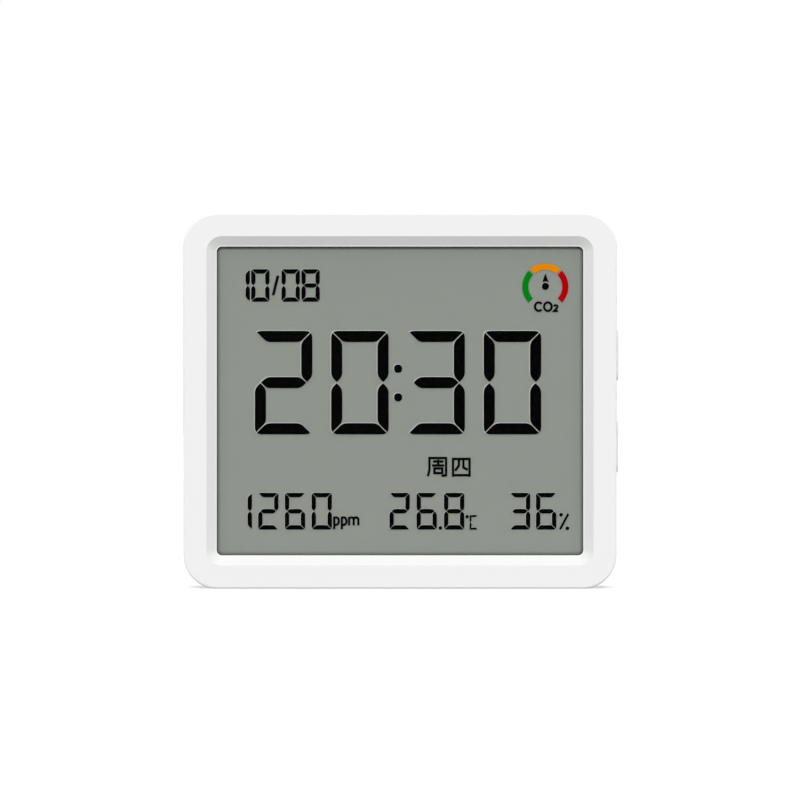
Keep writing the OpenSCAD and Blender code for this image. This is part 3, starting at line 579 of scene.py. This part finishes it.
def display_finishes(settings):
    """The bars' ink and, behind it, the pale finish of their painted highlight, made once."""
    if "bar_ink" in bpy.data.materials:
        return bpy.data.materials["bar_ink"], bpy.data.materials["painted_bar_highlight"]
    ink = plastic("bar_ink", tuple(settings.bar), grain=0.0002, height=0.5e-6, roughness=0.6, specular=0.0)
    edge = plastic("painted_bar_highlight", tuple(settings.painted_highlight), grain=0.0002, height=0.5e-6, roughness=0.6,
                   specular=0.2)
    return ink, edge


def draw_display_shape(name, draw, settings, edge=1.0):
    """Draws a shape twice: as dark bars, and behind them, a little larger and shifted up and left, as a
    painted highlight along the bars' upper and left edges.

    edge is the share of the full painted highlight that the shape gets.
    """
    def lay(label, finish, share, behind):
        bm = bmesh.new()
        draw(bm, share * HIGHLIGHT_GROW)
        sweep(bm, 0, 0, settings.bar_depth)
        shift = [share * x for x in HIGHLIGHT_SHIFT]
        bmesh.ops.transform(bm, matrix=on_panel(BAR_Y + behind, *shift), verts=bm.verts)
        finish_piece(bm, label, finish)

    ink, pale = display_finishes(settings)
    lay(name, ink, 0.0, 0.0)
    # the painted highlight: a pale copy behind the bars, shifted up and left
    lay(name + "_painted_highlight", pale, edge, HIGHLIGHT_BEHIND)


ARC_STEPS = 20


def arc(centre, reach_x, reach_y, start, end):
    """Points along an ellipse, in millimetres, between two angles in degrees."""
    turns = [math.radians(start + (end - start) * n / ARC_STEPS) for n in range(ARC_STEPS + 1)]
    return [(centre[0] + reach_x * math.cos(turn), centre[1] + reach_y * math.sin(turn)) for turn in turns]


def draw_strokes(name, paths, width, settings):
    """Thin lettering: each path is a line of points in millimetres, and a Solidify modifier widens it.

    A path that ends where it starts is closed.
    """
    bm = bmesh.new()
    for path in paths:
        closed = path[0] == path[-1]
        spots = [bm.verts.new((x * MM, y * MM, 0)) for x, y in (path[:-1] if closed else path)]
        for first, second in zip(spots, spots[1:] + spots[:1] if closed else spots[1:]):
            bm.edges.new((first, second))
    sweep(bm, 0, 0, settings.bar_depth)
    bmesh.ops.transform(bm, matrix=on_panel(BAR_Y), verts=bm.verts)
    ink, _ = display_finishes(settings)
    stroke = finish_piece(bm, name, ink).modifiers.new("Stroke", "SOLIDIFY")
    stroke.thickness = width * MM
    stroke.offset = 0
    stroke.use_even_offset = True


def add_sector(bm, centre, outer, inner, start, end):
    """A curved band from start to end, in radians, swept from one short line."""
    line = [bm.verts.new((centre[0] + reach * math.cos(start), centre[1] + reach * math.sin(start), 0))
            for reach in (inner, outer)]
    edge = bm.edges.new(line)
    bmesh.ops.spin(bm, geom=[*line, edge], cent=(*centre, 0), axis=(0, 0, 1), angle=end - start,
                   steps=ARC_STEPS, use_duplicate=False)


# ---------------------------------------------------------------- operators


class MONITOR_OT_case(bpy.types.Operator):
    """Gives the front housing, the cover and the stand their moulded plastic"""
    bl_idname = "monitor.case"
    bl_label = "Case"

    def execute(self, context):
        settings = context.scene.monitor_case
        shell = plastic("case_plastic", tuple(settings.shell), grain=settings.grain,
                        height=settings.grain_height, tone=0.02, roughness=0.55)
        dress(shell, "front_housing", "rear_cover", "stand_leg")
        dress(foam("stand_pad_rubber", (0.05, 0.05, 0.052), cell=0.0004, height=8e-6), "stand_pad")
        return {"FINISHED"}


class MONITOR_OT_buttons(bpy.types.Operator):
    """Gives the side buttons and the switches behind them their finishes"""
    bl_idname = "monitor.buttons"
    bl_label = "Buttons"

    def execute(self, context):
        settings = context.scene.monitor_case
        cap = plastic("button_plastic", tuple(settings.button), grain=settings.grain, height=2e-6, tone=0.015,
                      roughness=0.38)
        dress(cap, "upper_button", "lower_button")
        dress(metal("switch_tin", (0.72, 0.71, 0.68), roughness=0.3), "upper_switch", "lower_switch")
        dress(plastic("plunger_nylon", (0.78, 0.76, 0.7), roughness=0.4), "upper_plunger", "lower_plunger")
        return {"FINISHED"}


class MONITOR_OT_window(bpy.types.Operator):
    """Gives the clear window and the foam round it their finishes"""
    bl_idname = "monitor.window"
    bl_label = "Window"

    def execute(self, context):
        dress(clear("window_acrylic", (0.01, 0.01, 0.01), 0.03, 0.08), "display_lens")
        dress(foam("gasket_foam", (0.02, 0.02, 0.02), cell=0.00025), "lens_gasket")
        return {"FINISHED"}


class MONITOR_OT_display_cell(bpy.types.Operator):
    """Makes the display cell: a clear front over a grey backing with a contact ledge along its foot"""
    bl_idname = "monitor.display_cell"
    bl_label = "Display Cell"

    def execute(self, context):
        settings = context.scene.monitor_display
        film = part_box("lcd_front_film")
        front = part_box("lcd_front_pane")
        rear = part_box("lcd_rear_pane")
        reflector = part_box("lcd_reflector")
        low, high = film[0], Vector((film[1].x, BACKING_Y - BACKING_GAP, film[1].z))
        place = Matrix.Translation((low + high) / 2) @ Matrix.Diagonal((*(high - low), 1))
        bm = bmesh.new()
        bmesh.ops.create_cube(bm, size=1.0, matrix=place)
        bmesh.ops.bevel(bm, geom=bm.edges[:], offset=PANE_EDGE, offset_type="OFFSET", affect="EDGES",
                        segments=1, profile=0.5, material=-1)
        glass = clear("cell_glass", (0.01, 0.01, 0.01), 0.02, 0.05, specular=0.0)
        cell = finish_piece(bm, "cell_front", glass)
        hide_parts("lcd_front_film")

        side = [(BACKING_Y, front[1].z), (BACKING_Y, front[0].z), (front[1].y, front[0].z),
                (front[1].y, rear[0].z), (reflector[1].y, rear[0].z), (reflector[1].y, rear[1].z)]
        bm = bmesh.new()
        bm.faces.new([bm.verts.new((front[0].x, y, z)) for y, z in side])
        sweep(bm, front[1].x - front[0].x, 0, 0)
        grey = plastic("reflector", tuple(settings.backing), grain=0.0002, height=1e-6, tone=0.012,
                       roughness=0.6, specular=0.15)
        # Painted shade: the backing is darkened along the window's sides and foot, standing in for the window
        # rim's shadow there. At the head the rim's own cast shadow does that.
        half_width, half_height = (size / 2 for size in settings.window)
        paint_border_shade(grey, half_width=half_width, half_height=half_height + PAINTED_SHADE_REACH,
                     middle=MIDDLE_Z + PAINTED_SHADE_REACH, corner=PAINTED_SHADE_CORNER, reach=PAINTED_SHADE_REACH,
                     edge=PAINTED_SHADE_EDGE)
        backing = finish_piece(bm, "cell_backing", grey)
        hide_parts("lcd_front_pane", "lcd_rear_pane", "lcd_reflector")
        return {"FINISHED"}


def draw_reading(name, signs, places, bars, settings, spots=(), spot=0, edge=SMALL_HIGHLIGHT):
    """The lit bars of one reading.

    bars are a digit's width and height, its stroke and the gap between its bars. spots are the places of
    the reading's points, and spot is their size.
    """
    def draw(bm, grow):
        for sign, place in zip(signs, places):
            add_digit(bm, sign, in_metres(place), *bars, grow)
        for place in spots:
            add_spot(bm, in_metres(place), spot * MM, SPOT_ROUND, grow)
    draw_display_shape(name, draw, settings, edge)


class MONITOR_OT_clock(bpy.types.Operator):
    """Draws the time and the date"""
    bl_idname = "monitor.clock"
    bl_label = "Clock And Date"

    def execute(self, context):
        settings = context.scene.monitor_display
        hours, minutes = settings.clock.split(":")
        large = settings.clock_digit, settings.clock_stroke, settings.clock_gap
        draw_reading("clock_digits", hours.rjust(2) + minutes, CLOCK_PLACES, large, settings,
                     COLON_PLACES, COLON_SPOT, edge=1.0)
        month, day = settings.date.split("/")
        small = settings.date_digit, settings.small_stroke, settings.small_gap
        draw_reading("date_digits", month.rjust(2) + day.rjust(2), DATE_PLACES, small, settings)
        slash = [(-26.40, 21.98), (-25.38, 26.04)]
        draw_strokes("date_slash", [slash], SLASH_STROKE, settings)
        return {"FINISHED"}


class MONITOR_OT_readings(bpy.types.Operator):
    """Draws the gas, temperature and humidity readings"""
    bl_idname = "monitor.readings"
    bl_label = "Readings"

    def execute(self, context):
        settings = context.scene.monitor_display
        small = settings.row_digit, settings.small_stroke, settings.small_gap
        warmth = settings.warmth.replace(".", "")
        draw_reading("gas_digits", settings.gas.rjust(4), GAS_PLACES, small, settings)
        draw_reading("warmth_digits", warmth.rjust(3), WARMTH_PLACES, small, settings,
                     [POINT_PLACE], POINT_SPOT)
        draw_reading("damp_digits", settings.damp.rjust(2), DAMP_PLACES, small, settings)
        return {"FINISHED"}


def ppm_paths():
    """The strokes of the letters ppm: stems with bowls, then a stem with two hoops."""
    top, base, tail, overshoot = -24.24, -25.78, -26.70, 0.12
    bowl_at, bowl_reach = 0.36, 0.6
    hoop_reach, hoop_rise = 0.48, 0.42
    first_p, second_p, first_m = -13.68, -12.09, -10.59
    paths = []
    for stem in (first_p, second_p):
        paths.append([(stem, top + overshoot), (stem, tail)])
        bowl = arc((stem + bowl_at, (top + base) / 2), bowl_reach, (top - base) / 2, 90, -90)
        paths.append([(stem, top)] + bowl + [(stem, base)])
    paths.append([(first_m, top + overshoot), (first_m, base - overshoot)])
    for stem in (first_m, first_m + 2 * hoop_reach):
        hoop = arc((stem + hoop_reach, top - hoop_rise), hoop_reach, hoop_rise, 180, 0)
        paths.append(hoop + [(stem + 2 * hoop_reach, base - overshoot)])
    return paths


class MONITOR_OT_unit_marks(bpy.types.Operator):
    """Draws the marks beside the readings: parts per million, degrees Celsius and per cent"""
    bl_idname = "monitor.unit_marks"
    bl_label = "Unit Marks"

    def execute(self, context):
        settings = context.scene.monitor_display
        draw_strokes("parts_per_million", ppm_paths(), LETTER_STROKE, settings)

        def draw_marks(bm, grow):
            add_digit(bm, "C", in_metres(CELSIUS_PLACE), *CELSIUS_BARS, grow)
            for place in PER_CENT_PLACES:
                add_spot(bm, in_metres(place), PER_CENT_SPOT * MM, DOT_ROUND, grow)
            add_spot(bm, in_metres(DEGREE_PLACE), DEGREE_SPOT * MM, DOT_ROUND, grow)
        draw_display_shape("unit_shapes", draw_marks, settings, UNIT_HIGHLIGHT)
        slant = [(33.3, -26.71), (35.02, -23.5)]
        draw_strokes("per_cent_stroke", [slant], PER_CENT_STROKE, settings)
        return {"FINISHED"}


class MONITOR_OT_weekday(bpy.types.Operator):
    """Draws the sign for the day of the week"""
    bl_idname = "monitor.weekday"
    bl_label = "Weekday"

    def execute(self, context):
        week = [
            [(5.80, -15.67), (6.13, -14.40), (6.13, -11.88), (9.59, -11.88), (9.59, -15.45), (8.65, -15.63)],
            [(6.86, -12.61), (9.05, -12.61)],
            [(6.66, -13.43), (9.20, -13.43)],
            [(7.95, -12.22), (7.95, -13.43)],
            [(7.16, -14.05), (8.80, -14.05), (8.80, -15.01), (7.16, -15.01), (7.16, -14.05)],
        ]
        day = [
            [(11.03, -15.78), (11.03, -12.07), (14.47, -12.07), (14.47, -15.78)],
            [(11.03, -15.45), (14.47, -15.45)],
            [(12.26, -12.07), (12.26, -13.47), (11.45, -14.53)],
            [(13.18, -12.07), (13.18, -13.86), (14.11, -14.32)],
        ]
        draw_strokes("weekday_sign", week + day, WEEKDAY_STROKE, context.scene.monitor_display)
        return {"FINISHED"}


class MONITOR_OT_gauge(bpy.types.Operator):
    """Draws the air gauge: three coloured bands, a pointer and its caption"""
    bl_idname = "monitor.gauge"
    bl_label = "Air Gauge"

    def execute(self, context):
        settings = context.scene.monitor_display
        centre = in_metres(GAUGE_PLACE)
        outer = settings.gauge_radius
        inner = outer - settings.gauge_band
        for name, (start, end) in GAUGE_BANDS.items():
            bm = bmesh.new()
            add_sector(bm, centre, outer, inner, math.radians(start), math.radians(end))
            sweep(bm, 0, 0, settings.bar_depth)
            bmesh.ops.transform(bm, matrix=on_panel(BAR_Y), verts=bm.verts)
            tint = plastic("band_" + name, tuple(getattr(settings, name)), roughness=0.6, specular=0.0,
                           height=0.5e-6)
            finish_piece(bm, "gauge_" + name, tint)

        def draw_pointer(bm, grow):
            x, y = centre
            half = POINTER_HALF * (1 + grow / MM)
            outline = ((-half, POINTER_FOOT - grow), (0, POINTER_NOTCH - grow), (half, POINTER_FOOT - grow),
                       (0, POINTER_TIP + grow))
            bm.faces.new([bm.verts.new((x + across, y + up, 0)) for across, up in outline])
            add_spot(bm, (x, y + HUB_RISE), HUB_SPOT * MM, DOT_ROUND, grow)
        draw_display_shape("gauge_pointer", draw_pointer, settings, SMALL_HIGHLIGHT)
        letter_c = arc((28.87, 19.61), 0.79, 0.88, 40, 320)
        letter_o = arc((30.76, 19.61), 0.8, 0.88, 0, 360)
        letter_o[-1] = letter_o[0]
        figure = [(32.02, 19.66), (32.14, 19.85), (32.42, 19.92), (32.69, 19.82), (32.78, 19.6),
                  (32.64, 19.33), (32.04, 18.7), (32.9, 18.7)]
        draw_strokes("gauge_caption", [letter_c, letter_o], LETTER_STROKE, settings)
        draw_strokes("gauge_caption_figure", [figure], FIGURE_STROKE, settings)
        return {"FINISHED"}


class MONITOR_OT_boards(bpy.types.Operator):
    """Gives the display carrier, the circuit boards and their chips their finishes"""
    bl_idname = "monitor.boards"
    bl_label = "Boards"

    def execute(self, context):
        dress(plastic("carrier_plastic", (0.3, 0.3, 0.3), roughness=0.55), "lcd_carrier")
        dress(plastic("board_mask", (0.015, 0.12, 0.045), grain=0.0006, height=2e-6, tone=0.12,
                      roughness=0.3), "main_board", "co2_board")
        dress(plastic("chip_epoxy", (0.022, 0.022, 0.024), grain=0.0001, roughness=0.55),
              "microcontroller", "charger_chip")
        dress(metal("tinned_sheet", (0.72, 0.71, 0.68), roughness=0.25), "quartz_crystal")
        dress(plastic("ceramic", (0.28, 0.2, 0.13), grain=0.0001, roughness=0.45), "chip_passives")
        dress(foam("contact_rubber", (0.16, 0.16, 0.17), cell=0.0002), "contact_strip")
        dress(plastic("header_nylon", (0.02, 0.02, 0.02), roughness=0.45), "co2_header")
        dress(plastic("sensor_cap", (0.75, 0.75, 0.74), roughness=0.5), "humidity_sensor")
        return {"FINISHED"}


class MONITOR_OT_gas_sensor(bpy.types.Operator):
    """Gives the gas sensor its finishes"""
    bl_idname = "monitor.gas_sensor"
    bl_label = "Gas Sensor"

    def execute(self, context):
        dress(metal("gold_plate", (0.83, 0.6, 0.25), roughness=0.25), "co2_chamber", "co2_pins")
        dress(foam("filter_membrane", (0.85, 0.85, 0.83), cell=0.0002, height=1e-5), "co2_filter")
        dress(foam("seal_foam", (0.03, 0.03, 0.03), cell=0.0003), "co2_seal")
        return {"FINISHED"}


class MONITOR_OT_battery(bpy.types.Operator):
    """Gives the cell, its leads and its plug their finishes"""
    bl_idname = "monitor.battery"
    bl_label = "Battery"

    def execute(self, context):
        dress(metal("pouch_foil", (0.72, 0.73, 0.74), streak=0.0008, roughness=0.35, height=1e-5),
              "battery_cell")
        dress(foam("pad_foam", (0.12, 0.12, 0.12)), "battery_pad")
        dress(plastic("red_lead", (0.55, 0.02, 0.015), roughness=0.4), "battery_lead_red")
        dress(plastic("black_lead", (0.02, 0.02, 0.02), roughness=0.4), "battery_lead_black")
        dress(plastic("connector_nylon", (0.78, 0.72, 0.6), roughness=0.45), "battery_plug", "battery_socket")
        return {"FINISHED"}


class MONITOR_OT_usb_socket(bpy.types.Operator):
    """Gives the charging socket its finishes"""
    bl_idname = "monitor.usb_socket"
    bl_label = "Charging Socket"

    def execute(self, context):
        dress(metal("socket_shell", (0.66, 0.66, 0.65), roughness=0.22), "usb_shell")
        dress(plastic("tongue_nylon", (0.025, 0.025, 0.027), roughness=0.4), "usb_tongue")
        dress(metal("contact_gold", (0.86, 0.62, 0.26), roughness=0.2), "usb_contacts")
        return {"FINISHED"}


class MONITOR_OT_fasteners(bpy.types.Operator):
    """Gives the screws their plated steel"""
    bl_idname = "monitor.fasteners"
    bl_label = "Fasteners"

    def execute(self, context):
        dress(metal("screw_steel", (0.5, 0.5, 0.49), streak=0.0003, roughness=0.3),
              "case_screws", "carrier_screws", "board_screws")
        return {"FINISHED"}


# ---------------------------------------------------------------- studio

WHITE = (1, 1, 1, 1)
FLOOR_HALF = 6.0             # half the floor's width
KEY_SPREAD = 16              # how wide each light is in the sky, in degrees
TOP_SPREAD = 60
REAR_SPREAD = 30
SIDE_SPREAD = 5
REAR_WAY = (0.3, -0.95, -0.1)   # to the right, forwards and a little down
SIDE_TURN = -0.06            # the side lights come from a little behind
HORIZON = 0.2                # height of a unit direction at which sky, or ground below it, has full strength
SENSOR_WIDTH = 36            # of the camera, in millimetres
EYE_RISE = 0.18 * MM         # the camera's height over the middle of the case
SIGHT = 10                   # how far the camera sees, against its distance from the case


def add_sun(name, strength, spread, direction, gloss=True):
    """A soft light from far off, shining along direction. Without gloss it makes no highlights."""
    light = bpy.data.lights.new(name, "SUN")
    light.energy = strength
    light.angle = math.radians(spread)
    lamp = bpy.data.objects.new(name, light)
    lamp.rotation_euler = Vector(direction).to_track_quat("-Z", "Y").to_euler()
    lamp.visible_glossy = gloss
    bpy.context.scene.collection.objects.link(lamp)


def lay_floor(settings):
    """A plain pale floor, lit from within a little so that only the contact shadow shows on it."""
    bm = bmesh.new()
    bmesh.ops.create_grid(bm, x_segments=1, y_segments=1, size=FLOOR_HALF)
    mesh = bpy.data.meshes.new("studio_floor")
    bm.to_mesh(mesh)
    bm.free()
    paper, _, shader = start_material("floor_paper")
    set_inputs(shader, base_color=(*settings.floor, 1), roughness=0.9, specular_ior_level=0,
               emission_color=WHITE, emission_strength=settings.glow)
    mesh.materials.append(paper)
    floor = bpy.data.objects.new("studio_floor", mesh)
    floor.visible_diffuse = False
    floor.visible_glossy = False
    bpy.context.scene.collection.objects.link(floor)


def set_world(settings):
    """Light from all round, stronger from above than from below. The camera sees plain white in its place."""
    world = bpy.data.worlds.new("studio")
    bpy.context.scene.world = world
    world.use_nodes = True
    tree = world.node_tree
    tree.nodes.clear()
    end = add_node(tree, "ShaderNodeOutputWorld", (600, 0))
    way = add_node(tree, "ShaderNodeTexCoord", (-800, 0)).outputs["Generated"]
    height = add_node(tree, "ShaderNodeSeparateXYZ", (-600, 0))
    blend = add_node(tree, "ShaderNodeMapRange", (-300, 0), from_min=-HORIZON, from_max=HORIZON,
                     to_min=settings.ground, to_max=settings.sky)
    rays = add_node(tree, "ShaderNodeLightPath", (-400, 200))
    fill = add_node(tree, "ShaderNodeBackground", (0, 100))
    seen = add_node(tree, "ShaderNodeBackground", (0, -100))
    for background in (fill, seen):
        set_inputs(background, color=WHITE)
    pick = add_node(tree, "ShaderNodeMixShader", (300, 0))
    tree.links.new(way, height.inputs[0])
    tree.links.new(height.outputs["Z"], blend.inputs["Value"])
    tree.links.new(blend.outputs["Result"], fill.inputs["Strength"])
    tree.links.new(rays.outputs["Is Camera Ray"], pick.inputs[0])
    tree.links.new(fill.outputs[0], pick.inputs[1])
    tree.links.new(seen.outputs[0], pick.inputs[2])
    tree.links.new(pick.outputs[0], end.inputs["Surface"])


def set_lights(settings):
    """A key light from the front, softer lights from above and behind, and one from each side."""
    rise = settings.key_angle
    add_sun("key_light", settings.key, KEY_SPREAD, (0, math.cos(rise), -math.sin(rise)))
    add_sun("top_light", settings.top, TOP_SPREAD, (0, 0, -1))
    add_sun("rear_light", settings.rear, REAR_SPREAD, REAR_WAY, gloss=False)
    for name, way in (("left_light", 1), ("right_light", -1)):
        add_sun(name, settings.side, SIDE_SPREAD, (way, SIDE_TURN, 0), gloss=False)


def set_camera(settings):
    """A long lens straight in front of the case."""
    camera = bpy.data.cameras.new("camera")
    camera.lens = settings.lens
    camera.sensor_width = SENSOR_WIDTH
    away = settings.view_width * settings.lens / camera.sensor_width
    camera.clip_end = away * SIGHT
    eye = bpy.data.objects.new("camera", camera)
    eye.location = (0, FACE_Y - away, MIDDLE_Z + EYE_RISE)
    eye.rotation_euler = (math.pi / 2, 0, 0)
    bpy.context.scene.collection.objects.link(eye)
    bpy.context.scene.camera = eye


class MONITOR_OT_stage(bpy.types.Operator):
    """Sets the floor, the lights and the camera"""
    bl_idname = "monitor.stage"
    bl_label = "Stage"

    def execute(self, context):
        settings = context.scene.monitor_stage
        lay_floor(settings)
        set_world(settings)
        set_lights(settings)
        set_camera(settings)
        context.scene.view_settings.view_transform = "Standard"
        return {"FINISHED"}


class MONITOR_PT_panel(bpy.types.Panel):
    """The monitor's settings and steps"""
    bl_idname = "MONITOR_PT_panel"
    bl_label = "Carbon Dioxide Monitor"
    bl_space_type = "VIEW_3D"
    bl_region_type = "UI"
    bl_category = "Monitor"

    def draw(self, context):
        for group in (context.scene.monitor_case, context.scene.monitor_display, context.scene.monitor_stage):
            box = self.layout.box()
            for name in group.__annotations__:
                box.prop(group, name)
        for step in STEPS:
            self.layout.operator(step.bl_idname)


STEPS = (MONITOR_OT_case, MONITOR_OT_buttons, MONITOR_OT_window, MONITOR_OT_display_cell, MONITOR_OT_clock,
         MONITOR_OT_readings, MONITOR_OT_unit_marks, MONITOR_OT_weekday, MONITOR_OT_gauge, MONITOR_OT_boards,
         MONITOR_OT_gas_sensor, MONITOR_OT_battery, MONITOR_OT_usb_socket, MONITOR_OT_fasteners,
         MONITOR_OT_stage)
GROUPS = {"monitor_case": CaseSettings, "monitor_display": DisplaySettings, "monitor_stage": StageSettings}


def register():
    for kind in (*GROUPS.values(), *STEPS, MONITOR_PT_panel):
        bpy.utils.register_class(kind)
    for name, kind in GROUPS.items():
        setattr(bpy.types.Scene, name, PointerProperty(type=kind))


def unregister():
    for name in GROUPS:
        delattr(bpy.types.Scene, name)
    for kind in (MONITOR_PT_panel, *reversed(STEPS), *GROUPS.values()):
        bpy.utils.unregister_class(kind)


def main():
    register()
    bpy.ops.monitor.case()
    bpy.ops.monitor.buttons()
    bpy.ops.monitor.window()
    bpy.ops.monitor.display_cell()
    bpy.ops.monitor.clock()
    bpy.ops.monitor.readings()
    bpy.ops.monitor.unit_marks()
    bpy.ops.monitor.weekday()
    bpy.ops.monitor.gauge()
    bpy.ops.monitor.boards()
    bpy.ops.monitor.gas_sensor()
    bpy.ops.monitor.battery()
    bpy.ops.monitor.usb_socket()
    bpy.ops.monitor.fasteners()
    bpy.ops.monitor.stage()


if __name__ == "__main__":
    main()
